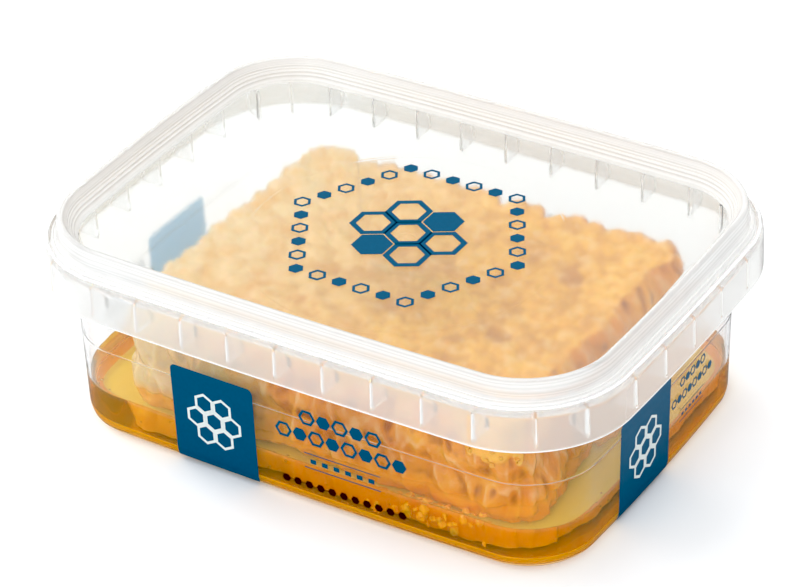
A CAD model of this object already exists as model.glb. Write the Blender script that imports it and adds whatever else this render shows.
"""Honeycomb in runny honey, in its shut clear tub: the looks, laid out as a Blender add-on.

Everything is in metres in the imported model's own frame: the tub stands on z = 0, its long
sides run along X, and the long side that faces -Y is the front.
"""

import math
import random

import bmesh
import bpy
import numpy as np
from bpy.props import FloatProperty, FloatVectorProperty, IntProperty, PointerProperty
from mathutils import Matrix, Vector, kdtree, noise


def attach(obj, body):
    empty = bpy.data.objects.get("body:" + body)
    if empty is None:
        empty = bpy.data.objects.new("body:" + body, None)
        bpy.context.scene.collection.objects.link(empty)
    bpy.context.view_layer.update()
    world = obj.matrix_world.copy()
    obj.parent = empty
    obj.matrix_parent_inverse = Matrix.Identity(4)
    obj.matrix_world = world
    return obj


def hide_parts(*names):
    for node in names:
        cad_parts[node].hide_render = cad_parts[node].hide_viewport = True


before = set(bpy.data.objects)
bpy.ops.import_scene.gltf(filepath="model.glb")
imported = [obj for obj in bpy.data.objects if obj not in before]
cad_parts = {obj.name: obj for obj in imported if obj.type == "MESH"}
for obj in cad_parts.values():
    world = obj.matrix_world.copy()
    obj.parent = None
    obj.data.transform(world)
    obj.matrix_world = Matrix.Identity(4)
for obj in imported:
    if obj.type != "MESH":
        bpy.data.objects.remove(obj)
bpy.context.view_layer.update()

bl_info = {
    "name": "Honeycomb in a Clear Tub",
    "version": (1, 0, 0),
    "blender": (4, 5, 0),
    "location": "View3D > Sidebar > Comb Tub",
    "description": "Moulds a clear lidded tub and fills it with honey and a slab of capped comb",
    "category": "Add Mesh",
}

MM = 0.001
BODY = "root"
RAISED = 0.02 * MM  # the gap under a printed film and under the base

# What the light does at the plastic, the honey and the wax
CLEAR_IOR = 1.34  # real polypropylene has 1.49, and would mirror too much of the white tent
WAX_IOR = 1.44
PLASTIC_MIRROR = (0.5, 0.5, 0.5, 1.0)  # the share that stays of what a surface mirrors
HONEY_MIRROR = (0.25, 0.25, 0.25, 1.0)
MILKY_HAZE = 0.1  # plastic is milky above this haze
CLEAR_PASSING = 0.945  # the share of light that clear plastic passes to what it holds
MILKY_PASSING = 0.99

# The steps that an outline is drawn in
CORNER_STEPS = 30
LONG_SIDE_STEPS = 110
SHORT_SIDE_STEPS = 66

# What follows from the mould, in millimetres and degrees; an inset is measured from the shoulder
RADIUS_LOSS = 1.22  # how much a corner's radius shrinks for each millimetre of inset
FLOOR_TOP = 0.8
BASE_FILLET = 2.7
SEAM = 20.3
WALL_BASE_INSET = 6.5
WALL_TOP_INSET = 5.9
LIP_INSET = 1.4
LID_CLEARANCE = 0.3
BEAD_OUTER_INSET = 3.0
BEAD_MIDDLE_INSET = 3.9
PANEL_INSET = 7.6
LONG_RIBS = 9
LONG_RIB_PITCH = 10.6
LONG_RIB_SHIFT = 0.5
SHORT_RIBS = 5
SHORT_RIB_PITCH = 11.3
CORNER_RIB_ANGLES = (35.0, 62.0)
GATE = (3.4 * MM, -4.9 * MM, 0.0)  # where the lid's mould was filled


def colour(hex_value):
    """The linear colour of an sRGB hex value such as #C8A060."""
    channels = [int(hex_value[place : place + 2], 16) / 255 for place in (1, 3, 5)]
    return tuple(c / 12.92 if c <= 0.04045 else ((c + 0.055) / 1.055) ** 2.4 for c in channels)


def size(name, description, millimetres):
    return FloatProperty(
        name=name, description=description, default=millimetres * MM, precision=5, unit="LENGTH"
    )


def paint(name, description, hex_value):
    shade = colour(hex_value)
    return FloatVectorProperty(
        name=name, description=description, default=shade, min=0.0, max=1.0, subtype="COLOR"
    )


def amount(name, description, number, least):
    return IntProperty(name=name, description=description, default=number, min=least)


def bearing(name, description, degrees):
    turn = math.radians(degrees)
    return FloatProperty(name=name, description=description, default=turn, subtype="ANGLE")


class PackTubSettings(bpy.types.PropertyGroup):
    half_length: size("Half Length", "Middle of the tub to its short side, at the shoulder", 63.0)
    half_width: size("Half Width", "Middle of the tub to its long side, at the shoulder", 46.3)
    corner_radius: size("Corner Radius", "Radius of the shoulder's corners", 21.3)
    long_bow: size("Long Side Bow", "How far the long sides bow out", 1.05)
    short_bow: size("Short Side Bow", "How far the short sides bow out", 1.25)
    wall: size("Wall", "Thickness of the moulded wall", 0.7)
    skirt_bottom: size("Skirt Bottom", "Height of the skirt's lower edge", 31.7)
    ledge_top: size("Ledge", "Height of the ledge that the lid sits on", 39.6)
    rim_top: size("Rim", "Height of the rim round the ledge", 40.9)
    rib_thickness: size("Rib Thickness", "Thickness of the ribs under the ledge", 0.6)
    plastic: paint("Plastic", "Tint of the clear plastic", "#FAFBFC")
    milky: paint("Milky Plastic", "Tint of the skirt, where the plastic scatters light", "#F2F2F0")
    glow: paint("Glowing Edge", "Tint of the base's edge, lit by the honey", "#FFE4AC")


class PackLidSettings(bpy.types.PropertyGroup):
    panel_top: size("Panel", "Height of the lid's sunken panel", 40.8)
    bead_top: size("Bead", "Height of the raised bead", 45.4)
    ring_radius: size("Moulded Ring", "Radius of the fine ring moulded in the panel", 31.8)
    gate_radius: size("Gate Mark", "Radius of the mark where the mould was filled", 0.8)
    plastic: paint("Plastic", "Tint of the lid's panel", "#F5F5F1")
    bead: paint("Bead Plastic", "Tint of the lid's bead", "#FBFBFA")


class PackHoneySettings(bpy.types.PropertyGroup):
    level: size("Level", "Height of the honey", 9.2)
    tint: paint("Tint", "Colour that the honey lets through", "#FDE30A")
    turbid: paint("Turbid Honey", "Colour of the pollen and wax in the honey", "#FFDF59")
    skin: paint("Surface", "Colour of the honey's turbid surface", "#FFF0AD")
    settled: paint("Settled Honey", "Colour of the honey that set round the floor", "#FFC84A")
    streak: paint("Streaks", "Colour of the streaks in the settled honey", "#F2A52A")
    strength: FloatProperty(
        name="Strength", description="How fast the honey darkens with depth", default=45.0, min=0.0
    )
    bubbles: amount("Bubbles", "Air bubbles in the honey", 60, 0)


class PackCombSettings(bpy.types.PropertyGroup):
    cell: size("Cell", "Width of one cell", 5.3)
    half_length: size("Half Length", "Half of the slab's length", 47.2)
    half_width: size("Half Width", "Half of the slab's width", 36.3)
    top: size("Top", "Height of the cappings", 28.0)
    capping: paint("Capping", "Colour of the wax cappings", "#FFC048")
    sunken: paint("Sunken Cell", "Colour of a capping with honey against it", "#C58234")
    cut: paint("Cut Wax", "Colour of the cut sides, wet with honey", "#E8963C")
    soaked: paint("Soaked Wax", "Colour of the wax below the honey's level", "#F9A81A")
    pale: paint("Pale Wax", "Colour of the newer wax at the left end", "#E4D6AC")
    recess: paint("Recess", "Colour of the deep parts of the cut sides", "#9E5228")
    ridge: paint("Torn Ridge", "Colour of the torn ridges on the cut sides", "#F8D09A")
    crumb: paint("Crumbs", "Colour of the loose wax", "#FFBC50")
    crumbs: amount("Crumbs", "Loose wax on the folded corner", 36, 1)
    sunken_crumbs: amount("Sunken Crumbs", "Loose wax in the honey", 30, 1)


class PackPrintSettings(bpy.types.PropertyGroup):
    blue: paint("Blue Ink", "Colour of the print", "#00587C")
    blue_back: paint("Blue Ink's Back", "Colour of the fields seen from inside", "#C4E2FC")
    brown: paint("Brown Ink", "Colour of the lowest row", "#3A2410")
    white: paint("White Ink", "Colour of the pattern on the blue fields", "#E9F1F0")
    film: size("Film", "Thickness of the printed film", 0.04)


class PackStageSettings(bpy.types.PropertyGroup):
    distance: size("Camera Distance", "Camera to the point that it looks at", 652.6)
    azimuth: bearing("Azimuth", "Camera's turn round the pack, from its front", 32.7445)
    elevation: bearing("Elevation", "Camera's angle above the floor", 32.9894)
    roll: bearing("Roll", "Camera's turn about its own line of sight", -2.2283)
    floor: paint("Floor", "Colour of the floor", "#F8FAFC")


# Outlines and sections


def settings(name):
    return getattr(bpy.context.scene, name)


def clamped(value):
    return min(max(value, 0.0), 1.0)


def search_tree(places):
    """A tree that finds the nearest of some places on the plane."""
    tree = kdtree.KDTree(len(places))
    for index, place in enumerate(places):
        tree.insert((place[0], place[1], 0), index)
    tree.balance()
    return tree


def outline(inset):
    """The pack's rounded, slightly bowed rectangle that far inside the shoulder, in metres."""
    tub = settings("pack_tub")
    radius = tub.corner_radius - RADIUS_LOSS * inset
    length = tub.half_length - inset
    width = tub.half_width - inset
    reach_x = length - radius
    reach_y = width - radius
    points = []
    corners = ((1, -1, -90, SHORT_SIDE_STEPS), (1, 1, 0, LONG_SIDE_STEPS))
    corners += ((-1, 1, 90, SHORT_SIDE_STEPS), (-1, -1, 180, LONG_SIDE_STEPS))
    for index, (side_x, side_y, start, steps) in enumerate(corners):
        angles = np.radians(start + np.linspace(0, 90, CORNER_STEPS + 1))
        x = side_x * reach_x + radius * np.cos(angles)
        y = side_y * reach_y + radius * np.sin(angles)
        next_x, next_y, next_start, _ = corners[(index + 1) % 4]
        turn = math.radians(next_start)
        end_x = next_x * reach_x + radius * math.cos(turn)
        end_y = next_y * reach_y + radius * math.sin(turn)
        share = np.linspace(0, 1, steps + 1)[1:-1]
        points.append(np.c_[x, y])
        points.append(np.c_[x[-1] + (end_x - x[-1]) * share, y[-1] + (end_y - y[-1]) * share])
    x, y = np.concatenate(points).T
    out_x = np.sign(x) * tub.short_bow * (1 - (y / width) ** 2)
    out_y = np.sign(y) * tub.long_bow * (1 - (x / length) ** 2)
    return np.c_[x + out_x, y + out_y]


def rounded(path, radius=0.35, steps=4):
    """A path of (inset, height) with its corners eased by up to that radius."""
    path = [Vector(point) for point in path]
    eased = [path[0]]
    for before, corner, after in zip(path, path[1:], path[2:]):
        back = before - corner
        on = after - corner
        start = corner + back * min(radius / back.length, 0.45)
        end = corner + on * min(radius / on.length, 0.45)
        for step in range(steps + 1):
            share = step / steps
            eased.append(start.lerp(corner, share).lerp(corner.lerp(end, share), share))
    return eased + [path[-1]]


def wall_inset(height):
    """The tub's outer wall, in millimetres inside the shoulder, on its straight draft."""
    skirt = settings("pack_tub").skirt_bottom / MM
    share = (height - BASE_FILLET) / (skirt - BASE_FILLET)
    return WALL_BASE_INSET + (WALL_TOP_INSET - WALL_BASE_INSET) * share


def tub_outside():
    """The tub's section from the base up to the skirt's inner corner, in millimetres."""
    base = WALL_BASE_INSET
    skirt = settings("pack_tub").skirt_bottom / MM
    path = [(base + BASE_FILLET + 2.5, 0), (base + BASE_FILLET, 0), (base + 0.5 * BASE_FILLET, 0.3)]
    path += [(base + 0.15 * BASE_FILLET, 1.1), (base, BASE_FILLET)]
    path += [(wall_inset(SEAM - 0.2), SEAM - 0.2), (wall_inset(SEAM) - 0.07, SEAM)]
    return path + [(wall_inset(SEAM + 0.2), SEAM + 0.2), (WALL_TOP_INSET, skirt)]


def tub_section():
    """Up the outside, round the skirt and the rim, and down the inside to the floor."""
    tub = settings("pack_tub")
    wall = tub.wall / MM
    ledge = tub.ledge_top / MM
    rim = tub.rim_top / MM
    skirt = tub.skirt_bottom / MM
    under = ledge - wall
    top = WALL_TOP_INSET
    base = WALL_BASE_INSET
    lip = LIP_INSET
    path = tub_outside() + [(top - 0.1, under - 0.5), (top - 0.5, under)]
    path += [(wall + 0.4, under), (wall, under - 0.4), (wall - 0.2, skirt + 0.1)]
    path += [(0.2, skirt - 0.1), (-0.15, skirt), (0.0, ledge - 0.4), (0.1, ledge + 0.2)]
    path += [(0.4, rim - 0.3), (0.85, rim), (lip - 0.1, rim - 0.2), (lip, ledge)]
    path += [(top + wall - 0.6, ledge), (top + wall - 0.15, ledge - 0.4), (top + wall, skirt)]
    path += [(base + wall, BASE_FILLET + 0.2), (base + wall + 0.5, FLOOR_TOP + 1.1)]
    path += [(base + wall + 1.4, FLOOR_TOP + 0.3), (base + wall + BASE_FILLET, FLOOR_TOP)]
    return path + [(base + wall + BASE_FILLET + 2.5, FLOOR_TOP)]


def ridges(start, end, count, height):
    """A slope between two (inset, height) points, with that many fine ridges moulded on it."""
    start = Vector(start)
    end = Vector(end)
    out = (end - start).normalized().orthogonal() * -height
    path = [start]
    for index in range(count):
        middle = start.lerp(end, (index + 1) / (count + 1))
        half = (end - start) * 0.22 / (count + 1)
        path += [middle - half, middle + out, middle + half]
    return [tuple(point) for point in path + [end]]


def lid_section():
    """Over the top from the panel to the bead and the rim's edge, and back underneath."""
    lid = settings("pack_lid")
    wall = settings("pack_tub").wall / MM
    seat = settings("pack_tub").ledge_top / MM + LID_CLEARANCE
    edge = LIP_INSET + LID_CLEARANCE
    outer = BEAD_OUTER_INSET
    crest = BEAD_MIDDLE_INSET
    bead = lid.bead_top / MM
    panel = lid.panel_top / MM
    foot = PANEL_INSET
    flat = seat + 1.2
    path = [(foot + 5, panel), (foot + 2, panel), (foot + 0.2, panel)]
    path += [(foot - 0.3, panel + 0.2)]
    path += ridges((foot - 0.7, panel + 0.7), (crest + 1.1, bead - 0.9), 4, 0.1)
    path += [(crest + 0.6, bead - 0.2), (crest + 0.3, bead - 0.12), (crest, bead)]
    path += [(crest - 0.5, bead - 0.3), (outer + 0.15, bead - 1.0), (outer, flat + 0.4)]
    path += [(outer - 0.2, flat), (outer - 0.4, flat + 0.3), (outer - 0.6, flat)]
    path += [(outer - 0.8, flat + 0.2), (outer - 1.0, flat)]
    path += [(edge + 0.15, flat - 0.1), (edge, flat - 0.4), (edge, seat + 0.2), (edge + 0.2, seat)]
    path += [(outer + wall - 0.1, seat), (outer + wall, seat + 0.3), (crest + 0.05, bead - 1.3)]
    path += [(crest + 0.2, bead - 0.9), (crest + 0.45, bead - 1.4)]
    path += [(foot - 1.3, panel + 0.4), (foot - 0.8, panel - 0.4), (foot - 0.1, panel - wall)]
    return path + [(foot + 2, panel - wall), (foot + 5, panel - wall)]


def honey_section():
    """The pool from its floor to its level, a little way into the tub's floor and wall."""
    tub_wall = settings("pack_tub").wall / MM - 0.15
    level = settings("pack_honey").level / MM
    side = WALL_BASE_INSET + tub_wall
    top = wall_inset(level) + tub_wall
    floor = FLOOR_TOP - 0.15
    path = [(side + BASE_FILLET + 3, floor), (side + BASE_FILLET, floor), (side + 1.4, floor + 0.3)]
    path += [(side + 0.5, floor + 1.1), (side, BASE_FILLET + 0.2), (top, level + 0.6)]
    path += [(top + 0.4, level + 0.35), (top + 1.0, level + 0.1), (top + 2.0, level)]
    return path + [(top + 4.0, level)]


# Meshes


def loft_mesh(name, rings, hoop=False):
    """A closed mesh between rings of as many points each, with flat ends or joined in a hoop."""
    count = len(rings[0])
    points = np.concatenate(rings)
    low = np.arange(count)
    after = np.roll(low, -1)
    faces = []
    for level in range(len(rings) - 1):
        start = level * count
        faces.append(np.c_[low + start, after + start, after + start + count, low + start + count])
    last = (len(rings) - 1) * count
    if hoop:
        faces.append(np.c_[low + last, after + last, after, low])
    polygons = np.concatenate(faces).tolist()
    if not hoop:
        polygons.append(low[::-1].tolist())
        polygons.append((low + last).tolist())
    mesh = bpy.data.meshes.new(name)
    mesh.from_pydata(points.tolist(), [], polygons)
    turn_outwards(mesh)
    return mesh


def turn_outwards(mesh):
    builder = bmesh.new()
    builder.from_mesh(mesh)
    bmesh.ops.recalc_face_normals(builder, faces=builder.faces)
    builder.to_mesh(mesh)
    builder.free()


def keep_values(mesh, name, values):
    """Keeps a value on each point of a mesh, for its material to read."""
    layer = mesh.attributes.new(name, "FLOAT", "POINT")
    layer.data.foreach_set("value", values.astype(np.float32))


def section_mesh(name, section, hoop=False):
    """The section swept round the pack. Each point keeps its place along it, in millimetres."""
    rings = []
    walked = []
    before = section[0]
    for point in section:
        flat = outline(point[0] * MM)
        rings.append(np.c_[flat, np.full(len(flat), point[1] * MM)])
        walked.append((walked[-1] if walked else 0.0) + math.dist(before, point))
        before = point
    mesh = loft_mesh(name, rings, hoop)
    keep_values(mesh, "along_section", np.repeat(walked, len(rings[0])))
    return mesh


def new_object(name, mesh):
    obj = bpy.data.objects.new(name, mesh)
    bpy.context.scene.collection.objects.link(obj)
    return obj


def applied(obj):
    """The object's evaluated mesh, with every modifier taken off the object and in the mesh."""
    graph = bpy.context.evaluated_depsgraph_get()
    mesh = bpy.data.meshes.new_from_object(obj.evaluated_get(graph))
    obj.modifiers.clear()
    old = obj.data
    obj.data = mesh
    bpy.data.meshes.remove(old)
    mesh.name = obj.name
    return obj


def drop(obj):
    mesh = obj.data
    bpy.data.objects.remove(obj, do_unlink=True)
    bpy.data.meshes.remove(mesh)


def frost_outside(obj, zones):
    """Gives the faces outside an outline and between two heights another finish.

    A zone is (finish, inset, low, high), in millimetres, and a later zone covers an earlier one.
    """
    finishes = obj.data.materials
    for finish, inset, low, high in zones:
        if finish.name not in finishes:
            finishes.append(finish)
        slot = finishes.find(finish.name)
        tree = search_tree(outline(inset * MM))
        for polygon in obj.data.polygons:
            x, y, z = polygon.center
            if low * MM < z < high * MM:
                nearest, _, _ = tree.find((x, y, 0))
                if (x - nearest.x) * nearest.x + (y - nearest.y) * nearest.y > 0:
                    polygon.material_index = slot


def finish_piece(obj, finish, replaced=None, sharp_angle=35.0):
    """Gives a piece its finish and its place in the frame."""
    obj.data.materials.clear()
    obj.data.materials.append(finish)
    obj.data.shade_smooth()
    obj.data.set_sharp_from_angle(angle=math.radians(sharp_angle))
    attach(obj, BODY)
    if replaced:
        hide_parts(replaced)


# Nodes


def add_node(tree, kind, inputs=None, **details):
    """Adds a node, sets its own details, and sets or links its inputs."""
    node = tree.nodes.new(kind)
    for name, value in details.items():
        setattr(node, name, value)
    for name, value in (inputs or {}).items():
        if isinstance(value, bpy.types.NodeSocket):
            tree.links.new(value, node.inputs[name])
        else:
            node.inputs[name].default_value = value
    return node


def calculated(tree, operation, first, second=None):
    inputs = {0: first} if second is None else {0: first, 1: second}
    return add_node(tree, "ShaderNodeMath", inputs, operation=operation).outputs[0]


def cloud(tree, place, scale, detail):
    """A noise texture's value, from 0 to 1."""
    texture = {"Vector": place, "Scale": scale, "Detail": detail}
    return add_node(tree, "ShaderNodeTexNoise", texture).outputs["Fac"]


def share(tree, value, none, whole, most=1.0, least=0.0):
    """How far a value has come from none to whole, given between least and most."""
    reach = {"Value": value, "From Min": none, "From Max": whole, "To Min": least, "To Max": most}
    return add_node(tree, "ShaderNodeMapRange", reach).outputs[0]


def blend(tree, factor, first, second):
    """A mix of two colours, each one a linear colour or a socket."""
    colours = {"Factor": factor}
    for slot, shade in ((6, first), (7, second)):
        colours[slot] = shade if isinstance(shade, bpy.types.NodeSocket) else (*shade, 1.0)
    return add_node(tree, "ShaderNodeMix", colours, data_type="RGBA").outputs[2]


def bumped(tree, strength, distance, height, normal=None):
    """The normal of a relief, over another one if that is given."""
    inputs = {"Strength": strength, "Distance": distance, "Height": height}
    if normal:
        inputs["Normal"] = normal
    return add_node(tree, "ShaderNodeBump", inputs).outputs["Normal"]


def kept(tree, name):
    """An attribute that the mesh keeps on its points."""
    return add_node(tree, "ShaderNodeAttribute", attribute_name=name).outputs["Fac"]


STAMP_SHAPES = {
    # A bar has points along it, so that it bends round the wall
    "bar": ("GeometryNodeMeshCube", {"Size": (1, 1, 1), "Vertices X": 9}),
    "cell": ("GeometryNodeMeshCylinder", {"Vertices": 6, "Radius": 0.5, "Depth": 1.0}),
    "pebble": ("GeometryNodeMeshIcoSphere", {"Radius": 0.5, "Subdivisions": 3}),
}
STAMP_RELIEF = 900.0  # turns of the pebbles' relief in a metre


def stamp_tree(name, kind):
    """A Geometry Nodes tree that puts a bar, a cell, a cell ring or a pebble on every point.

    The points carry a size and a turn. The shapes are one unit wide before they are sized.
    """
    tree = bpy.data.node_groups.new(name, "GeometryNodeTree")
    inputs = {"Points": "Geometry", "Stroke": "Float", "Roughness": "Float", "Finish": "Material"}
    for socket, holds in inputs.items():
        tree.interface.new_socket(name=socket, in_out="INPUT", socket_type=f"NodeSocket{holds}")
    tree.interface.new_socket(name="Mesh", in_out="OUTPUT", socket_type="NodeSocketGeometry")
    given = add_node(tree, "NodeGroupInput").outputs
    if kind == "ring":
        path = add_node(tree, "GeometryNodeCurvePrimitiveCircle", {"Resolution": 6, "Radius": 0.5})
        stroke = {"Width": given["Stroke"], "Height": 1.0}
        profile = add_node(tree, "GeometryNodeCurvePrimitiveQuadrilateral", stroke)
        swept = {"Curve": path.outputs["Curve"], "Profile Curve": profile.outputs["Curve"]}
        shape = add_node(tree, "GeometryNodeCurveToMesh", swept)
    else:
        shape = add_node(tree, *STAMP_SHAPES[kind])
    carried = {}
    for key in ("size", "turn"):
        named = {"Name": key}
        node = add_node(tree, "GeometryNodeInputNamedAttribute", named, data_type="FLOAT_VECTOR")
        carried[key] = node.outputs[0]
    rotation = add_node(tree, "FunctionNodeEulerToRotation", {0: carried["turn"]})
    stamped = {
        "Points": given["Points"],
        "Instance": shape.outputs["Mesh"],
        "Rotation": rotation.outputs[0],
        "Scale": carried["size"],
    }
    placed = add_node(tree, "GeometryNodeInstanceOnPoints", stamped)
    real = add_node(tree, "GeometryNodeRealizeInstances", {0: placed.outputs[0]})
    relief = add_node(tree, "ShaderNodeTexNoise", {"Scale": STAMP_RELIEF, "Detail": 2.0})
    middle = {0: relief.outputs["Color"], 1: (0.5, 0.5, 0.5)}
    centred = add_node(tree, "ShaderNodeVectorMath", middle, operation="SUBTRACT")
    scaled = {0: centred.outputs[0], "Scale": given["Roughness"]}
    offset = add_node(tree, "ShaderNodeVectorMath", scaled, operation="SCALE")
    moved = {"Geometry": real.outputs[0], "Offset": offset.outputs[0]}
    uneven = add_node(tree, "GeometryNodeSetPosition", moved)
    coloured = {"Geometry": uneven.outputs[0], "Material": given["Finish"]}
    painted = add_node(tree, "GeometryNodeSetMaterial", coloured)
    add_node(tree, "NodeGroupOutput", {0: painted.outputs[0]})
    return tree


def stamped(name, kind, marks, finish, stroke=0.12, roughness=0.0):
    """An object of shapes on marks, a list of (place, size, turn), made by Geometry Nodes."""
    mesh = bpy.data.meshes.new(name)
    mesh.from_pydata([place for place, _, _ in marks], [], [])
    for key, column in (("size", 1), ("turn", 2)):
        values = np.array([mark[column] for mark in marks], np.float32).reshape(-1)
        mesh.attributes.new(key, "FLOAT_VECTOR", "POINT").data.foreach_set("vector", values)
    obj = new_object(name, mesh)
    tree = stamp_tree(name, kind)
    modifier = obj.modifiers.new("stamp", "NODES")
    modifier.node_group = tree
    values = {"Stroke": stroke, "Roughness": roughness, "Finish": finish}
    for item in tree.interface.items_tree:
        if item.name in values:
            modifier[item.identifier] = values[item.name]
    applied(obj)
    for key in ("size", "turn"):
        found = obj.data.attributes.get(key)
        if found:
            obj.data.attributes.remove(found)
    if not obj.data.polygons:
        raise RuntimeError(f"{name} came out empty")
    return obj


# Materials


def new_material(name):
    """A material and its empty tree."""
    made = bpy.data.materials.new(name)
    made.use_nodes = True
    made.node_tree.nodes.clear()
    return made, made.node_tree


def object_place(tree):
    return add_node(tree, "ShaderNodeTexCoord").outputs["Object"]


def finish_material(made, inputs, passing=None, volume=None):
    """Ends a material in a Principled shader.

    Where passing is given, that share of the light goes straight through on its way to what the
    surface holds, from a lamp or scattered.
    """
    tree = made.node_tree
    surface = add_node(tree, "ShaderNodeBsdfPrincipled", inputs).outputs[0]
    if passing:
        path = add_node(tree, "ShaderNodeLightPath")
        grey = (passing, passing, passing, 1.0)
        clear = add_node(tree, "ShaderNodeBsdfTransparent", {"Color": grey})
        for ray in ("Is Shadow Ray", "Is Diffuse Ray"):
            mixed = {0: path.outputs[ray], 1: surface, 2: clear.outputs[0]}
            surface = add_node(tree, "ShaderNodeMixShader", mixed).outputs[0]
    ends = {"Surface": surface, "Volume": volume} if volume else {"Surface": surface}
    add_node(tree, "ShaderNodeOutputMaterial", ends)
    return made


def fine_rings(tree, place, radii):
    """A bump height of fine rings round the gate, on the mould's own centre."""
    gate = add_node(tree, "ShaderNodeVectorMath", {0: place, 1: (1, 1, 0)}, operation="MULTIPLY")
    from_gate = {0: gate.outputs[0], 1: GATE}
    away = add_node(tree, "ShaderNodeVectorMath", from_gate, operation="DISTANCE").outputs["Value"]
    nearest = None
    for radius in radii:
        gap = calculated(tree, "ABSOLUTE", calculated(tree, "SUBTRACT", away, radius))
        nearest = calculated(tree, "MINIMUM", nearest, gap) if nearest else gap
    line = {"Value": nearest, "From Min": 0.22 * MM, "From Max": 0.0}
    return add_node(tree, "ShaderNodeMapRange", line, interpolation_type="SMOOTHSTEP").outputs[0]


def moulded_polypropylene(
    name, tint, haze, roughness, ripple, radii=(), drawn=False, ior=CLEAR_IOR
):
    """Clear polypropylene, injection moulded: glassy, but a little milky, with a faint flow ripple.

    A drawn one has the fine parallel lines that the mould's cutter leaves along its section. Milky
    parts pass on the light that they scatter, so they darken what lies behind them less.
    """
    made, tree = new_material(name)
    place = object_place(tree)
    normal = bumped(tree, ripple, 0.2 * MM, cloud(tree, place, 110.0, 3.0))
    if radii:
        normal = bumped(tree, 0.3, 0.04 * MM, fine_rings(tree, place, radii), normal)
    base = (*tint, 1.0)
    if drawn:
        cutter = {"W": kept(tree, "along_section"), "Scale": 2.1, "Detail": 2.0}
        lines = add_node(tree, "ShaderNodeTexNoise", cutter, noise_dimensions="1D").outputs["Fac"]
        normal = bumped(tree, 0.8, 0.12 * MM, lines, normal)
        shaded = [0.84 * c for c in tint]
        base = blend(tree, share(tree, lines, 0.42, 0.62), tint, shaded)
    inputs = {
        "Base Color": base,
        "Roughness": roughness,
        "IOR": ior,
        "Specular Tint": PLASTIC_MIRROR,
        "Transmission Weight": 1.0 - haze,
        "Normal": normal,
    }
    return finish_material(made, inputs, MILKY_PASSING if haze > MILKY_HAZE else CLEAR_PASSING)


def runny_honey():
    """Liquid honey: clear amber that darkens with depth, a little turbid with pollen and wax."""
    honey = settings("pack_honey")
    made, tree = new_material("runny_honey")
    place = object_place(tree)
    height = add_node(tree, "ShaderNodeSeparateXYZ", {0: place}).outputs["Z"]
    top = share(tree, height, honey.level - 0.3 * MM, honey.level - 0.05 * MM)
    inputs = {
        "Base Color": blend(tree, top, honey.turbid, honey.skin),
        "Roughness": 0.02,
        "IOR": 1.38,
        "Specular Tint": HONEY_MIRROR,
        "Transmission Weight": 0.91,
        "Normal": bumped(tree, 0.15, 0.8 * MM, cloud(tree, place, 60.0, 1.0)),
    }
    depth = {"Color": (*honey.tint, 1.0), "Density": honey.strength}
    volume = add_node(tree, "ShaderNodeVolumeAbsorption", depth).outputs[0]
    return finish_material(made, inputs, passing=1.0, volume=volume)


def air_bubble():
    """Air held in honey: light bends out of it the other way, so the edges turn bright or dark."""
    made, _ = new_material("air_bubble")
    inputs = {"Roughness": 0.02, "IOR": 0.7, "Transmission Weight": 1.0}
    return finish_material(made, inputs, passing=1.0)


def settled_honey():
    """Honey that set in the fillet round the floor and gathers the light: bright gold, and soft."""
    honey = settings("pack_honey")
    made, tree = new_material("settled_honey")
    streaks = cloud(tree, object_place(tree), 90.0, 3.0)
    inputs = {
        "Base Color": blend(tree, streaks, honey.settled, honey.streak),
        "Roughness": 0.3,
        "IOR": 1.3,
        "Transmission Weight": 0.3,
    }
    return finish_material(made, inputs)


def crumbled_wax():
    """Loose crumbs of cappings, soaked with honey: golden, shiny, and lit well into their depth."""
    comb = settings("pack_comb")
    made, tree = new_material("crumbled_wax")
    grain = cloud(tree, object_place(tree), 500.0, 3.0)
    inputs = {
        "Base Color": blend(tree, grain, comb.crumb, comb.cut),
        "Roughness": 0.22,
        "IOR": WAX_IOR,
        "Subsurface Weight": 0.7,
        "Subsurface Radius": (1.0, 0.55, 0.16),
        "Subsurface Scale": 2 * MM,
    }
    return finish_material(made, inputs)


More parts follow.
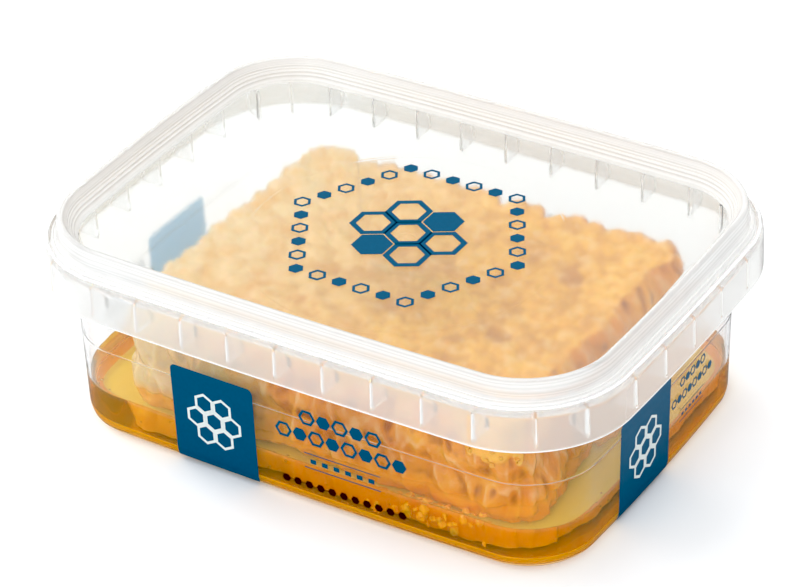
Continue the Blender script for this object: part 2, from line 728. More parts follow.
def beeswax():
    """Beeswax as bees draw and cap it: waxy and light passes into it, wet where honey has run."""
    comb = settings("pack_comb")
    made, tree = new_material("capped_beeswax")
    place = object_place(tree)
    tone, side, folded = (kept(tree, name) for name in ("cell_tone", "cut_side", "folded"))
    patches = cloud(tree, place, 120.0, 6.0)
    flakes = cloud(tree, place, 320.0, 4.0)
    along, _, height = add_node(tree, "ShaderNodeSeparateXYZ", {0: place}).outputs

    # The cappings: newer and paler to the left, stained where honey lies against them
    spread = share(tree, share(tree, patches, 0.35, 0.7), 0.0, 1.0, 0.9, 0.1)
    stained = calculated(tree, "MULTIPLY", spread, tone)
    newer = blend(tree, share(tree, along, 10 * MM, -42 * MM, 0.85), comb.capping, comb.pale)
    older = blend(tree, share(tree, along, 10 * MM, -42 * MM, 0.6), comb.sunken, comb.capping)
    cappings = blend(tree, stained, newer, older)
    cappings = blend(tree, share(tree, flakes, 0.5, 0.36, 0.4), cappings, older)
    cappings = blend(tree, share(tree, flakes, 0.52, 0.68, 0.5), cappings, comb.ridge)

    # The cut sides: browner in their hollows, and paler on the torn ridges and to the left
    cut = blend(tree, share(tree, patches, 0.4, 0.72, 0.6), comb.cut, comb.capping)
    cut = blend(tree, share(tree, tone, 0.47, 0.8, 0.85), cut, comb.recess)
    cut = blend(tree, share(tree, tone, 0.35, 0.0, 0.45), cut, comb.ridge)
    cut = blend(tree, share(tree, along, -6 * MM, -40 * MM, 0.75), cut, comb.pale)

    dry = blend(tree, folded, blend(tree, side, cappings, cut), comb.crumb)
    soaked = blend(tree, share(tree, along, 0.0, -36 * MM, 0.3), comb.soaked, comb.pale)
    level = settings("pack_honey").level
    wax = blend(tree, share(tree, height, level + 2.0 * MM, level - 1.5 * MM), dry, soaked)
    grain = bumped(tree, 0.35, 0.3 * MM, cloud(tree, place, 900.0, 4.0))
    inputs = {
        "Base Color": wax,
        "Roughness": share(tree, side, 0.0, 1.0, 0.16, 0.5),
        "IOR": WAX_IOR,
        "Subsurface Weight": 0.6,
        "Subsurface Radius": (0.9, 0.55, 0.2),
        "Subsurface Scale": 3 * MM,
        "Normal": bumped(tree, 0.5, 0.8 * MM, flakes, grain),
    }
    return finish_material(made, inputs)


def printed_ink(name, tint, glow=None):
    """Offset ink on a clear film: even and matte, with a faint mottle.

    Seen from inside the pack, the daylight that comes through it glows in the ink's own colour.
    """
    made, tree = new_material(name)
    mottle = cloud(tree, object_place(tree), 1500.0, 2.0)
    mottled = blend(tree, mottle, tint, [0.8 * c for c in tint])
    inputs = {"Base Color": mottled, "Roughness": 0.4, "IOR": 1.3}
    if glow:
        inputs.update({"Emission Color": (*glow, 1.0), "Emission Strength": 1.9})
    return finish_material(made, inputs)


def studio_floor(tint):
    """Matt white card, with flags before the pack that keep the card out of its front's gloss."""
    made, tree = new_material("white_card")
    card = {"Base Color": (*tint, 1.0), "Roughness": 0.9}
    surface = add_node(tree, "ShaderNodeBsdfPrincipled", card).outputs[0]
    along = add_node(tree, "ShaderNodeSeparateXYZ", {0: object_place(tree)}).outputs["X"]
    # As mirrored in the front, the card is dark between the pack's ends and white beyond them
    flagged = share(tree, calculated(tree, "ABSOLUTE", along), 60 * MM, 76 * MM, 0.95, 0.3)
    flag = add_node(tree, "ShaderNodeBsdfDiffuse", {"Color": flagged}).outputs[0]
    path = add_node(tree, "ShaderNodeLightPath").outputs
    refracted = {0: path["Is Transmission Ray"], 1: flag, 2: surface}
    mirrored = add_node(tree, "ShaderNodeMixShader", refracted).outputs[0]
    by_gloss = {0: path["Is Glossy Ray"], 1: surface, 2: mirrored}
    surface = add_node(tree, "ShaderNodeMixShader", by_gloss).outputs[0]
    add_node(tree, "ShaderNodeOutputMaterial", {"Surface": surface})
    return made


def studio_world(strength):
    """A white tent, brightest overhead."""
    world = bpy.data.worlds.new("studio")
    world.use_nodes = True
    tree = world.node_tree
    tree.nodes.clear()
    direction = add_node(tree, "ShaderNodeTexCoord").outputs["Generated"]
    height = add_node(tree, "ShaderNodeSeparateXYZ", {0: direction}).outputs["Z"]
    light = share(tree, height, -0.1, 0.9, 1.2 * strength, 0.55 * strength)
    tent = add_node(tree, "ShaderNodeBackground", {"Color": (1, 1, 1, 1), "Strength": light})
    add_node(tree, "ShaderNodeOutputWorld", {"Surface": tent.outputs[0]})
    return world


# Tub


def rib_stations():
    """(x, y, outward angle) of each rib on the shoulder's outline, in metres and degrees."""
    tub = settings("pack_tub")
    stations = []
    for index in range(LONG_RIBS):
        x = (LONG_RIB_SHIFT + (index - (LONG_RIBS - 1) / 2) * LONG_RIB_PITCH) * MM
        y = -tub.half_width - tub.long_bow * (1 - (x / tub.half_length) ** 2)
        stations.append((x, y, -90.0))
    for index in range(SHORT_RIBS):
        y = (index - (SHORT_RIBS - 1) / 2) * SHORT_RIB_PITCH * MM
        x = tub.half_length + tub.short_bow * (1 - (y / tub.half_width) ** 2)
        stations.append((x, y, 0.0))
    for side in (1, -1):
        for corner_angle in CORNER_RIB_ANGLES:
            turn = math.radians(-90.0 + side * corner_angle)
            x = side * (tub.half_length - tub.corner_radius) + tub.corner_radius * math.cos(turn)
            y = tub.corner_radius - tub.half_width + tub.corner_radius * math.sin(turn)
            stations.append((x, y, math.degrees(turn)))
    return stations + [(-x, -y, degrees + 180.0) for x, y, degrees in stations]


def rib_marks(low, high, near, far, thickness):
    """An upright bar on each rib station, between two heights and two insets, in metres."""
    marks = []
    for x, y, degrees in rib_stations():
        turn = math.radians(degrees)
        out = Vector((math.cos(turn), math.sin(turn), 0))
        place = Vector((x, y, (low + high) / 2)) - out * (near + far) / 2
        marks.append((place, (far - near, thickness, high - low), (0, 0, turn)))
    return marks


def sink_rib_marks(mesh):
    """Presses the shallow mark that each rib leaves on the outside of the skirt."""
    tub = settings("pack_tub")
    tree = search_tree(rib_stations())
    deepest, spread, reach = 0.16 * MM, 0.8 * MM, 2.5 * MM
    for vertex in mesh.vertices:
        x, y, z = vertex.co
        if z < tub.skirt_bottom + 1 * MM or z > tub.rim_top - 0.2 * MM:
            continue
        _, _, away = tree.find((x, y, 0))
        if away < reach:
            inward = Vector((x, y, 0)).normalized()
            vertex.co -= inward * deepest * math.exp(-((away / spread) ** 2))


class PACK_OT_tub(bpy.types.Operator):
    """Moulds the tub with its ribbed skirt"""

    bl_idname = "comb_tub.tub"
    bl_label = "Tub"

    def execute(self, context):
        tub = context.scene.pack_tub
        mesh = section_mesh("tub_shell", rounded(tub_section()))
        sink_rib_marks(mesh)
        shell = new_object("tub_shell", mesh)
        # Each finish's tint, haze, roughness and ripple
        plastic = moulded_polypropylene("clear_polypropylene", tub.plastic, 0.006, 0.02, 0.2)
        milky = moulded_polypropylene("milky_polypropylene", tub.milky, 0.28, 0.2, 0.3)
        thin = moulded_polypropylene("thin_polypropylene", tub.plastic, 0.11, 0.2, 0.1, ior=1.1)
        whitened = moulded_polypropylene("whitened_polypropylene", tub.plastic, 0.85, 0.3, 0.2)
        glowing = moulded_polypropylene("glowing_polypropylene", tub.glow, 0.65, 0.15, 0.1)
        bottom, ledge = tub.skirt_bottom, tub.ledge_top
        depths = (0.1 * MM, WALL_TOP_INSET * MM + tub.wall / 2)
        marks = rib_marks(bottom + 0.8 * MM, ledge - tub.wall / 2, *depths, tub.rib_thickness)
        ribs = stamped("skirt_ribs", "bar", marks, plastic)
        union = shell.modifiers.new("ribs", "BOOLEAN")
        union.operation = "UNION"
        union.solver = "MANIFOLD"
        union.object = ribs
        before = len(shell.data.polygons)
        applied(shell)
        if len(shell.data.polygons) <= before:
            raise RuntimeError("the ribs didn't join the tub")
        drop(ribs)
        finish_piece(shell, plastic, "tub")
        skirt = bottom / MM
        rim = tub.rim_top / MM
        zones = (
            (milky, 5.2, skirt - 0.3, rim + 1.0),  # the ledge and the skirt
            (thin, 5.6, skirt + 0.6, ledge / MM - 0.8),  # the ribs' faces
            (milky, 0.95, skirt - 0.3, rim + 1.0),  # the skirt once more, over the ribs' ends
            (milky, 6.9, SEAM - 0.11, SEAM + 0.11),  # the seam's groove
            (whitened, 1.3, skirt - 0.3, skirt + 0.16),  # the skirt's lower edge
            (whitened, 1.1, rim - 0.25, rim + 1.0),  # the rim's edge
            (glowing, WALL_BASE_INSET + 2.1, 0.05, 1.5),  # the base's edge
        )
        frost_outside(shell, zones)
        # Where the ribs meet the skirt, the plastic was drawn and turned white in a fine line
        ends = (bottom + 1.4 * MM, ledge - 1.2 * MM)
        marks = rib_marks(*ends, 0.4 * MM, 1.1 * MM, 0.26 * MM)
        finish_piece(stamped("rib_lines", "bar", marks, whitened), whitened)
        return {"FINISHED"}


class PACK_OT_lid(bpy.types.Operator):
    """Moulds the lid with its bead and sunken panel"""

    bl_idname = "comb_tub.lid"
    bl_label = "Lid"

    def execute(self, context):
        lid = context.scene.pack_lid
        mesh = section_mesh("lid_shell", rounded(lid_section(), 0.3, 2))
        shell = new_object("lid_shell", mesh)
        radii = (lid.gate_radius, 3 * lid.gate_radius, lid.ring_radius)
        satin = moulded_polypropylene("satin_polypropylene", lid.plastic, 0.06, 0.1, 0.3, radii)
        milky = moulded_polypropylene(
            "milky_lid_polypropylene", lid.bead, 0.5, 0.12, 0.3, drawn=True
        )
        finish_piece(shell, satin, "lid")
        frost_outside(shell, [(milky, PANEL_INSET - 0.4, 0.0, lid.bead_top / MM + 1.0)])
        return {"FINISHED"}


# Honey

BUBBLE_INSETS = (7.9, 9.4)  # millimetres, least and greatest, as the widths are
BUBBLE_WIDTHS = (0.2, 0.7)


def bubble_marks(count):
    """Bubbles near the wall and the floor, in seeded random places."""
    draw = random.Random(7)
    level = settings("pack_honey").level
    marks = []
    while len(marks) < count:
        ring = outline(draw.uniform(*BUBBLE_INSETS) * MM)
        x, y = ring[draw.randrange(len(ring))]
        z = draw.uniform(2.2 * MM, level - 1.0 * MM)
        across = draw.uniform(*BUBBLE_WIDTHS) * MM
        marks.append(((x, y, z), (across, across, across), (0, 0, 0)))
    return marks


def settled_section():
    """The band of settled honey in the fillet round the floor."""
    side = WALL_BASE_INSET + settings("pack_tub").wall / MM
    section = [(side + 2.0, 0.95), (side + 0.85, 1.45), (side + 0.2, 2.5), (side + 0.3, 2.7)]
    return section + [(side + 1.0, 1.75), (side + 2.1, 1.25)]


class PACK_OT_honey(bpy.types.Operator):
    """Pours the honey round the comb, with its bubbles"""

    bl_idname = "comb_tub.honey"
    bl_label = "Honey"

    def execute(self, context):
        mesh = section_mesh("honey_pool", rounded(honey_section(), 0.3, 3))
        finish_piece(new_object("honey_pool", mesh), runny_honey(), "honey")
        mesh = section_mesh("settled_honey", settled_section(), hoop=True)
        finish_piece(new_object("settled_honey", mesh), settled_honey())
        air = air_bubble()
        marks = bubble_marks(context.scene.pack_honey.bubbles)
        finish_piece(stamped("honey_bubbles", "pebble", marks, air), air)
        return {"FINISHED"}


# Comb, in millimetres up to its mesh

COMB_AROUND = 620  # points round the slab
COMB_LEVELS = 46  # rings of them up its side
COMB_RINGS_IN = 56  # rings of them on its top
COMB_CENTRE = (1.2, 0.9)
COMB_CORNER = 9.0
COMB_BOTTOM = 1.1
COMB_SIDE_HEIGHTS = (0.0, 0.16, 0.33, 0.5, 0.64, 0.8, 0.92, 0.985)  # shares of its height
COMB_SIDE_INSETS = (2.0, 0.7, 0.1, 0.8, 0.0, 0.1, 0.6, 1.6)
RIGHT_SLOPE = 4.2
LEFT_SLOPE = 0.3
BACK_LEAN = 1.8
LOBE_DEPTH = 1.3
BACK_NOTCHES = ((2.0, 4.0), (12.5, 3.4), (-33.0, 2.0))  # place along the back, and depth
NOTCH_WIDTH = 2.4
FOLD_START = 31.0  # how far along the front the cappings are folded down
FOLD_HEM = 19.5  # the height that they are folded down to
SUNKEN_TONE = 0.72  # above this tone a capping is sunken, with honey against it
FOLD_CRUMBS = (0.6, 1.5)  # least and greatest width
HONEY_CRUMBS = (0.8, 2.2)


def rounded_rectangle(half_length, half_width, radius, count):
    """(x, y, normal x, normal y, distance along) at equal steps round a rounded rectangle."""
    reach_x = half_length - radius
    reach_y = half_width - radius
    arc = math.pi * radius / 2
    runs = (2 * reach_x, arc, 2 * reach_y, arc, 2 * reach_x, arc, 2 * reach_y, arc)
    total = sum(runs)
    starts = ((-reach_x, -reach_y), (reach_x, -reach_y), (reach_x, -reach_y), (reach_x, reach_y))
    points = []
    for index in range(count):
        distance = total * index / count
        left = distance
        for run, length in enumerate(runs):
            if left < length:
                break
            left -= length
        half = 1 if run < 4 else -1
        start_x, start_y = starts[run % 4]
        base_angle = math.radians((-90, -90, 0, 0)[run % 4])
        if run % 2:
            base_angle += left / radius
            move_x = move_y = 0.0
        else:
            move_x = -math.sin(base_angle) * left
            move_y = math.cos(base_angle) * left
        normal_x = math.cos(base_angle) * half
        normal_y = math.sin(base_angle) * half
        x = (start_x + move_x) * half + normal_x * radius
        y = (start_y + move_y) * half + normal_y * radius
        points.append((x, y, normal_x, normal_y, distance))
    return points


def lobes(distance, total, cell, layer_turn):
    """How far the comb's edge stands in between its cells, in millimetres."""
    cells = round(total / cell)
    turn = 2 * math.pi * distance / total
    wander = 0.28 * math.sin(3 * turn + 1.0) + 0.22 * math.sin(7 * turn + 0.4)
    wave = abs(math.sin(math.pi * (cells * distance / total + wander + layer_turn)))
    return LOBE_DEPTH * (1 - wave)


def lumps(x, y, z, across, start=(0, 0, 0)):
    """Smooth noise from -1 to 1, in lumps about that wide."""
    return noise.noise(Vector((x, y, z)) / across + Vector(start))


def torn_wax(x, y, z):
    """Fine relief of the cut sides, in millimetres: broken cell walls and honey that ran."""
    coarse = lumps(x, y, 0.7 * z, 2.6)
    fine = lumps(x, y, 0.7 * z, 1.1, (7, 3, 1))
    ridge = 1 - abs(lumps(x, y, 0.35 * z, 3.4, (2, 9, 4))) * 2.4
    return 0.4 * coarse + 0.16 * fine - 0.45 * max(ridge, 0.0) ** 3


def folded_capping(x, y, z, normal_x, normal_y):
    """Share of the side that the cappings cover, where the knife folded them over a corner."""
    if normal_y > -0.05 or x < FOLD_START:
        return 0.0
    hem = FOLD_HEM + 2.6 * lumps(x, y, 0, 3.1) + 1.2 * lumps(x, y, 5, 1.2)
    hem += max(0.0, FOLD_START + 4 - x) * 2.0 + 9.0 * max(0.0, normal_x - 0.75) / 0.25
    return clamped((z - hem) / 0.8)


def comb_ring(height_share, inset):
    """One level of the comb's side, each point's depth in its relief, and its share of cut wax."""
    comb = settings("pack_comb")
    middle_x, middle_y = COMB_CENTRE
    z = COMB_BOTTOM + (comb.top / MM - COMB_BOTTOM) * height_share
    halves = (comb.half_length / MM, comb.half_width / MM)
    edge = rounded_rectangle(*halves, COMB_CORNER, COMB_AROUND)
    total = edge[-1][4] * COMB_AROUND / (COMB_AROUND - 1)
    cell = comb.cell / MM
    upper = clamped((height_share - 0.44) / 0.12)  # the comb has two layers of cells
    ring = []
    tone = []
    cut = []
    for x, y, normal_x, normal_y, distance in edge:
        clean = 0.35 + 0.65 * clamped(normal_y - 0.6 * normal_x + 0.5)
        depth = inset + clean * upper * lobes(distance, total, cell, 0.0)
        depth += clean * (1 - upper) * lobes(distance, total, cell, 0.5)
        depth += 1.1 * lumps(x, y, 0, 17)
        depth += (0.9 + 1.1 * (1 - clean)) * lumps(x, y, 0.8 * z, 5.5)
        relief = torn_wax(x, y, z)
        depth += relief
        slope = RIGHT_SLOPE * max(normal_x, 0.0) + LEFT_SLOPE * max(-normal_x, 0.0)
        depth += height_share * slope
        depth -= height_share * BACK_LEAN * max(normal_y, 0.0)
        fold = folded_capping(x, y, z, normal_x, normal_y)
        depth -= 0.5 * fold
        if normal_y > 0.5:
            for place, notch in BACK_NOTCHES:
                depth += notch * math.exp(-(((x - place) / NOTCH_WIDTH) ** 2))
        depth = max(depth, -0.4 - height_share * BACK_LEAN * max(normal_y, 0.0))
        ring.append((middle_x + x - normal_x * depth, middle_y + y - normal_y * depth, z))
        tone.append(clamped(0.5 + relief) * (1.0 - fold))
        cut.append(1.0 - fold)
    return np.array(ring), np.array(tone), np.array(cut)


def cell_centres():
    """(x, y, tone, lift) of the comb's cells, in rows that wander a little."""
    cell = settings("pack_comb").cell / MM
    row = cell * math.cos(math.radians(30))
    draw = random.Random(11)
    turn = math.radians(12)
    reach = 13  # rows to each side, which is past the slab's corners
    centres = []
    for line in range(-reach, reach + 1):
        for place in range(-reach, reach + 1):
            u = (place + 0.5 * (line % 2)) * cell + draw.uniform(-0.45, 0.45)
            v = line * row + draw.uniform(-0.45, 0.45)
            x = u * math.cos(turn) - v * math.sin(turn)
            y = u * math.sin(turn) + v * math.cos(turn)
            centres.append((x, y, draw.uniform(0, 1), draw.uniform(-1, 1)))
    return centres


def cappings(points):
    """Heights over the slab's level top, in millimetres, and each point's share of stain."""
    centres = cell_centres()
    tree = search_tree(centres)
    heights = np.empty(len(points))
    tones = np.empty(len(points))
    for index, (x, y) in enumerate(points):
        (_, nearest, first), (_, _, second) = tree.find_n((x, y, 0), 2)
        tone, lift = centres[nearest][2:]
        border = math.exp(-(((second - first) / 0.9) ** 2))
        dome = 1 - min(first / 2.9, 1.0) ** 2
        waves = 0.8 * lumps(x, y, 0.02, 21) + 0.45 * lumps(x, y, 0.05, 6)
        grain = 0.2 * lumps(x, y, 3.0, 1.3) + 0.25 * lumps(x, y, 9.0, 2.7)
        sunken = tone > SUNKEN_TONE
        bulge = (-0.34 if sunken else 0.24) * dome
        heights[index] = waves + grain + bulge + 0.12 * lift * dome - 0.16 * border
        tones[index] = (0.35 + 0.65 * tone) * (1 - 0.5 * border) if not sunken else 1.0
    return heights, tones


def crumb(place, draw, low, high):
    """A mark for a crumb between two widths, flatter than it is wide, in metres."""
    across = draw.uniform(low, high) * MM
    shares = ((0.7, 1.3), (0.7, 1.2), (0.5, 0.9))
    widths = [across * draw.uniform(*share) for share in shares]
    return (place, widths, [draw.uniform(0, math.pi) for _ in range(3)])


def fold_crumbs(folded, count):
    """Crumbs on the folded cappings, sunk halfway into the slab's corner."""
    draw = random.Random(23)
    return [crumb(Vector(draw.choice(folded)) * MM, draw, *FOLD_CRUMBS) for _ in range(count)]


def honey_crumbs(count):
    """Crumbs that fell in the honey, along the front of the slab."""
    draw = random.Random(31)
    marks = []
    for _ in range(count):
        along = draw.triangular(12, 42, 34)
        place = Vector((along, draw.uniform(-37.9, -36.4), draw.uniform(2.6, 7.4))) * MM
        marks.append(crumb(place, draw, *HONEY_CRUMBS))
    return marks


class PACK_OT_comb(bpy.types.Operator):
    """Cuts the slab of capped comb"""

    bl_idname = "comb_tub.comb"
    bl_label = "Comb"

    def execute(self, context):
        comb = context.scene.pack_comb
        rings = []
        tones = []
        sides = []
        for share in np.linspace(0, COMB_SIDE_HEIGHTS[-1], COMB_LEVELS):
            inset = float(np.interp(share, COMB_SIDE_HEIGHTS, COMB_SIDE_INSETS))
            ring, tone, cut = comb_ring(share, inset)
            rings.append(ring)
            tones.append(tone)
            sides.append(cut)
        folded = [tuple(p) for ring, cut in zip(rings, sides) for p in ring[cut < 0.7]]
        # The top's rings draw in to a line along its middle, so that none of them crosses another
        edge = rings[-1][:, :2]
        core = (comb.half_length - comb.half_width) / MM
        spine = np.tile(COMB_CENTRE, (len(edge), 1))
        spine[:, 0] += np.clip(edge[:, 0] - spine[:, 0], -core, core)
        for step in range(1, COMB_RINGS_IN + 1):
            flat = spine + (edge - spine) * (1 - step / (COMB_RINGS_IN + 0.5))
            heights, tone = cappings(flat)
            rings.append(np.c_[flat, comb.top / MM + heights])
            tones.append(tone)
            sides.append(sides[COMB_LEVELS - 1] * max(0.0, 1 - step / 2))
        mesh = loft_mesh("comb_slab", [ring * MM for ring in rings])
        top = [np.zeros(COMB_AROUND)] * COMB_RINGS_IN
        folds = [1.0 - cut for cut in sides[:COMB_LEVELS]] + top
        for name, values in (("cell_tone", tones), ("cut_side", sides), ("folded", folds)):
            keep_values(mesh, name, np.concatenate(values))
        finish_piece(new_object("comb_slab", mesh), beeswax(), "honeycomb", 80.0)
        crumbled = crumbled_wax()
        marks = fold_crumbs(folded, comb.crumbs) + honey_crumbs(comb.sunken_crumbs)
        crumbs = stamped("wax_crumbs", "pebble", marks, crumbled, roughness=1.2 * MM)
        finish_piece(crumbs, crumbled)
        return {"FINISHED"}


# Print, in millimetres up to its marks

WALL_PRINTS = {
    # side: middle of the blue field, its half width, middle of the rows, their scale and spacing
    "front": (-18.7, 9.6, 10.6, 1.0, 1.0),
    "back": (18.7, 9.6, -10.6, 1.0, 1.0),
    "right": (-7.8, 9.8, 11.6, 0.6, 0.78),
    "left": (3.5, 9.8, -14.0, 0.6, 0.78),
}
LONG_SIDES = ("front", "back")
FIELD_HEIGHTS = (0.35, 23.2)
FIELD_COLUMNS = 24
FIELD_ROWS = 26
FIELD_CORNER_STEPS = 6
CLUSTER_HEIGHT = 12.4
WALL_ROWS = ((5, 21.0), (8, 16.6))  # cells in each row and the row's height
RULES = (12.6, 9.2)
SQUARES_HEIGHT = 10.9
SMALL_CELLS_HEIGHT = 5.0
ROW_CELL = 3.2
CELL_TURN = (0, 0, math.radians(30))
LEVEL = (0, 0, 0)


class WallSide:
    """A straight side of the tub, as a place to print on."""

    def __init__(self, name):
        self.name = name
        section = rounded(tub_outside())
        self.heights = [point[1] for point in section]
        self.insets = [point[0] for point in section]

    def place(self, along, height, lift):
        """The point on the wall that far along it, at a height, and lifted off it, in metres."""
        tub = settings("pack_tub")
        inset = float(np.interp(height / MM, self.heights, self.insets)) * MM - lift
        length = tub.half_length - inset
        width = tub.half_width - inset
        if self.name in LONG_SIDES:
            side = -1 if self.name == "front" else 1
            return (along, side * (width + tub.long_bow * (1 - (along / length) ** 2)), height)
        side = 1 if self.name == "right" else -1
        return (side * (length + tub.short_bow * (1 - (along / width) ** 2)), along, height)


def wrapped(obj, side):
    """Lays a flat print, drawn in X and Y with its thickness in Z, on a side of the tub."""
    for vertex in obj.data.vertices:
        vertex.co = side.place(*vertex.co)
    turn_outwards(obj.data)
    return obj


def field_mesh(name, left, right, low, high, corner, film):
    """A printed field with round corners, drawn flat, as a thin closed slab."""
    turns = [math.pi / 2 * step / FIELD_CORNER_STEPS for step in range(FIELD_CORNER_STEPS + 1)]
    arc = [corner * (1 - math.cos(turn)) for turn in turns]
    rows = [low + height for height in arc]
    rows += list(np.linspace(low + corner, high - corner, FIELD_ROWS)[1:-1])
    rows += [high - height for height in reversed(arc)]
    builder = bmesh.new()
    layers = []
    for lift in (RAISED, RAISED + film):
        grid = []
        for height in rows:
            from_end = min(height - low, high - height)
            short = 0.0
            if from_end < corner:
                short = corner - math.sqrt(max(corner**2 - (corner - from_end) ** 2, 0.0))
            line = np.linspace(left + short, right - short, FIELD_COLUMNS + 1)
            grid.append([builder.verts.new((x, height, lift)) for x in line])
        layers.append(grid)
    for grid in layers:
        for lower, upper in zip(grid, grid[1:]):
            for place in range(FIELD_COLUMNS):
                corners = (lower[place], lower[place + 1], upper[place + 1], upper[place])
                builder.faces.new(corners)
    border = []
    for grid in layers:
        around = list(grid[0]) + [row[-1] for row in grid[1:-1]]
        around += list(reversed(grid[-1])) + [row[0] for row in reversed(grid[1:-1])]
        border.append(around)
    inner, outer = border
    for place, _ in enumerate(inner):
        after = (place + 1) % len(inner)
        builder.faces.new((inner[place], inner[after], outer[after], outer[place]))
    mesh = bpy.data.meshes.new(name)
    bmesh.ops.recalc_face_normals(builder, faces=builder.faces)
    builder.to_mesh(mesh)
    builder.free()
    return mesh


def hexagon_cluster(centre, cell, lift, thick):
    """Marks of seven cells, one in the middle and six round it, in metres."""
    widths = (cell, cell, thick)
    reach = cell * math.cos(math.radians(30)) * 1.12  # a little more than from cell to cell
    marks = [((*centre, lift), widths, CELL_TURN)]
    for turn in np.radians(range(0, 360, 60)):
        place = (centre[0] + reach * math.cos(turn), centre[1] + reach * math.sin(turn), lift)
        marks.append((place, widths, CELL_TURN))
    return marks


def row_of(count, middle, reach, height, lift, widths):
    """Marks in a level row, as far to both sides of its middle as it reaches, in metres."""
    places = np.linspace(middle - reach, middle + reach, count)
    return [((place, height, lift), widths, LEVEL) for place in places]


def row_height(height, spacing):
    """The height of a row, in metres, drawn in towards the lower rule."""
    return (RULES[1] + (height - RULES[1]) * spacing) * MM


class PACK_OT_wall_print(bpy.types.Operator):
    """Prints the fields and rows on the tub's four sides"""

    bl_idname = "comb_tub.wall_print"
    bl_label = "Wall Print"

    def execute(self, context):
        look = context.scene.pack_print
        film = look.film
        lift = RAISED + film / 2
        blue = printed_ink("blue_ink", look.blue)
        back = printed_ink("blue_ink_back", look.blue_back, look.blue)
        brown = printed_ink("brown_ink", look.brown)
        white = printed_ink("white_ink", look.white)
        for name, (field, half, rows, scale, spacing) in WALL_PRINTS.items():
            side = WallSide(name)
            ends = [at * MM for at in (field - half, field + half, *FIELD_HEIGHTS)]
            mesh = field_mesh(f"{name}_field", *ends, 1.2 * MM, film)
            panel = wrapped(new_object(f"{name}_field", mesh), side)
            finish_piece(panel, blue)
            panel.data.materials.append(back)
            for polygon in panel.data.polygons:
                if polygon.normal.xy.dot(polygon.center.xy) < -0.5 * polygon.center.xy.length:
                    polygon.material_index = 1
            # The white cells lie over the field's film
            centre = (field * MM, CLUSTER_HEIGHT * MM)
            cluster = hexagon_cluster(centre, 4.3 * MM, RAISED + 1.6 * film, film)
            pattern = wrapped(stamped(f"{name}_cells", "ring", cluster, white, 0.15), side)
            finish_piece(pattern, white)
            unit = scale * MM
            middle = rows * MM
            cell = ROW_CELL * unit
            for share, kind in enumerate(("ring", "cell")):
                cells = []
                for count, height in WALL_ROWS:
                    places = np.arange(count) - (count - 1) / 2
                    for place in places[share::2]:
                        centre = (middle + place * 1.15 * cell, row_height(height, spacing), lift)
                        cells.append((centre, (cell, cell, film), LEVEL))
                row = wrapped(stamped(f"{name}_row_{kind}s", kind, cells, blue, 0.2), side)
                finish_piece(row, blue)
            rule = (17 * unit, 0.2 * unit, film)
            square = (1.3 * unit, unit, film)
            bars = []
            for height in RULES:
                bars += row_of(1, middle, 0.0, row_height(height, spacing), lift, rule)
            level = row_height(SQUARES_HEIGHT, spacing)
            bars += row_of(6, middle, 6.5 * unit, level, lift, square)
            finish_piece(wrapped(stamped(f"{name}_rules", "bar", bars, blue), side), blue)
            if name in LONG_SIDES:
                small = (1.9 * unit, 1.9 * unit, film)
                cells = row_of(11, middle, 13 * unit, SMALL_CELLS_HEIGHT * MM, lift, small)
                row = wrapped(stamped(f"{name}_small_cells", "cell", cells, brown), side)
                finish_piece(row, brown)
        return {"FINISHED"}


class PACK_OT_lid_print(bpy.types.Operator):
    """Prints a border of cells and a cluster in the middle of the lid"""

    bl_idname = "comb_tub.lid_print"
    bl_label = "Lid Print"

    def execute(self, context):
        look = context.scene.pack_print
        film = look.film
        top = context.scene.pack_lid.panel_top + RAISED + film / 2
        blue = printed_ink("lid_blue_ink", look.blue)
        centre = (2.8 * MM, -2.4 * MM)
        reach = 24.5 * MM
        cell = (ROW_CELL * MM, ROW_CELL * MM, film)
        cells_a_side = 5
        turns = np.radians(range(0, 361, 60))
        corners = [Vector((reach * math.cos(turn), reach * math.sin(turn))) for turn in turns]
        marks = []
        for start, end in zip(corners, corners[1:]):
            for step in range(cells_a_side):
                place = start.lerp(end, step / cells_a_side)
                marks.append(((centre[0] + place.x, centre[1] + place.y, top), cell, LEVEL))
        finish_piece(stamped("lid_border_cells", "cell", marks[::2], blue), blue)
        finish_piece(stamped("lid_border_rings", "ring", marks[1::2], blue, 0.2), blue)
        cluster = hexagon_cluster(centre, 8.2 * MM, top, film)
        filled = [cluster[2], cluster[5]]
        open_cells = [mark for mark in cluster if mark not in filled]
        finish_piece(stamped("lid_rings", "ring", open_cells, blue, 0.16), blue)
        finish_piece(stamped("lid_filled_cells", "cell", filled, blue), blue)
        return {"FINISHED"}


# Stage

LOOKED_AT = (-9.05, 10.48, 15.75)  # millimetres
FOCAL_LENGTH = 146.43
FLOOR_REACH = 4.0
TENT_STRENGTH = 0.94
SOFTBOXES = (
    # name, place in metres, width in metres, power in watts
    ("key_softbox", (-0.8, 0.15, 0.8), 0.6, 4.5),
    ("fill_softbox", (0.1, -0.9, 0.6), 0.35, 2.3),
)


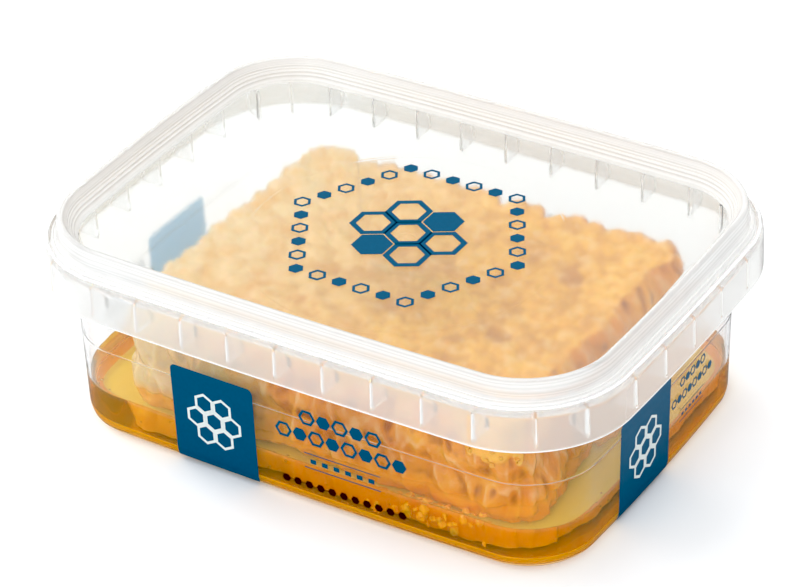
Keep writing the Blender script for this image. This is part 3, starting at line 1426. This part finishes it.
class PACK_OT_stage(bpy.types.Operator):
    """Sets the camera, the pale floor and the soft studio light"""

    bl_idname = "comb_tub.stage"
    bl_label = "Stage"

    def execute(self, context):
        scene = context.scene
        stage = scene.pack_stage
        turn, rise, roll = stage.azimuth, stage.elevation, stage.roll
        level = math.cos(rise)
        back = Vector((math.sin(turn) * level, -math.cos(turn) * level, math.sin(rise)))
        right = Vector((math.cos(turn), math.sin(turn), 0))
        up = back.cross(right)
        rolled_right = math.cos(roll) * right + math.sin(roll) * up
        rolled_up = math.cos(roll) * up - math.sin(roll) * right
        lens = bpy.data.cameras.new("photo_camera")
        lens.sensor_width = 36.0
        lens.lens = FOCAL_LENGTH
        lens.clip_start = 0.01
        camera = bpy.data.objects.new("photo_camera", lens)
        scene.collection.objects.link(camera)
        facing = Matrix((rolled_right, rolled_up, back)).transposed().to_4x4()
        facing.translation = Vector(LOOKED_AT) * MM + back * stage.distance
        camera.matrix_world = facing
        scene.camera = camera

        floor = new_object("floor", bpy.data.meshes.new("floor"))
        sides = ((-1, -1), (1, -1), (1, 1), (-1, 1))
        corners = [(x * FLOOR_REACH, y * FLOOR_REACH, -RAISED) for x, y in sides]
        floor.data.from_pydata(corners, [], [(0, 1, 2, 3)])
        floor.data.materials.append(studio_floor(stage.floor))

        for name, place, width, power in SOFTBOXES:
            light = bpy.data.lights.new(name, "AREA")
            light.shape = "SQUARE"
            light.size = width
            light.energy = power
            lamp = bpy.data.objects.new(name, light)
            lamp.location = place
            lamp.rotation_euler = Vector(place).to_track_quat("Z", "Y").to_euler()
            scene.collection.objects.link(lamp)
        scene.world = studio_world(TENT_STRENGTH)

        # The deepest shades are clipped to black, as in a product photo
        scene.view_settings.view_transform = "Standard"
        scene.view_settings.use_curve_mapping = True
        scene.view_settings.curve_mapping.black_level = (0.03, 0.03, 0.03)

        # Light passes the lid, the walls and the honey, and comes back the same way
        scene.cycles.max_bounces = 24
        scene.cycles.transmission_bounces = 20
        scene.cycles.transparent_max_bounces = 24
        scene.cycles.diffuse_bounces = 5
        return {"FINISHED"}


class PACK_PT_sidebar(bpy.types.Panel):
    """Lists the pack's pieces"""

    bl_idname = "PACK_PT_sidebar"
    bl_label = "Comb Tub"
    bl_space_type = "VIEW_3D"
    bl_region_type = "UI"
    bl_category = "Comb Tub"

    def draw(self, context):
        for operator in OPERATORS:
            self.layout.operator(operator.bl_idname)


OPERATORS = (
    PACK_OT_tub,
    PACK_OT_lid,
    PACK_OT_honey,
    PACK_OT_comb,
    PACK_OT_wall_print,
    PACK_OT_lid_print,
    PACK_OT_stage,
)
SETTINGS = {
    "pack_tub": PackTubSettings,
    "pack_lid": PackLidSettings,
    "pack_honey": PackHoneySettings,
    "pack_comb": PackCombSettings,
    "pack_print": PackPrintSettings,
    "pack_stage": PackStageSettings,
}


def register():
    for name, group in SETTINGS.items():
        bpy.utils.register_class(group)
        setattr(bpy.types.Scene, name, PointerProperty(type=group))
    for operator in OPERATORS:
        bpy.utils.register_class(operator)
    bpy.utils.register_class(PACK_PT_sidebar)


def unregister():
    bpy.utils.unregister_class(PACK_PT_sidebar)
    for operator in reversed(OPERATORS):
        bpy.utils.unregister_class(operator)
    for name, group in SETTINGS.items():
        delattr(bpy.types.Scene, name)
        bpy.utils.unregister_class(group)


def main():
    register()
    for operator in OPERATORS:
        group, name = operator.bl_idname.split(".")
        getattr(getattr(bpy.ops, group), name)()


if __name__ == "__main__":
    main()
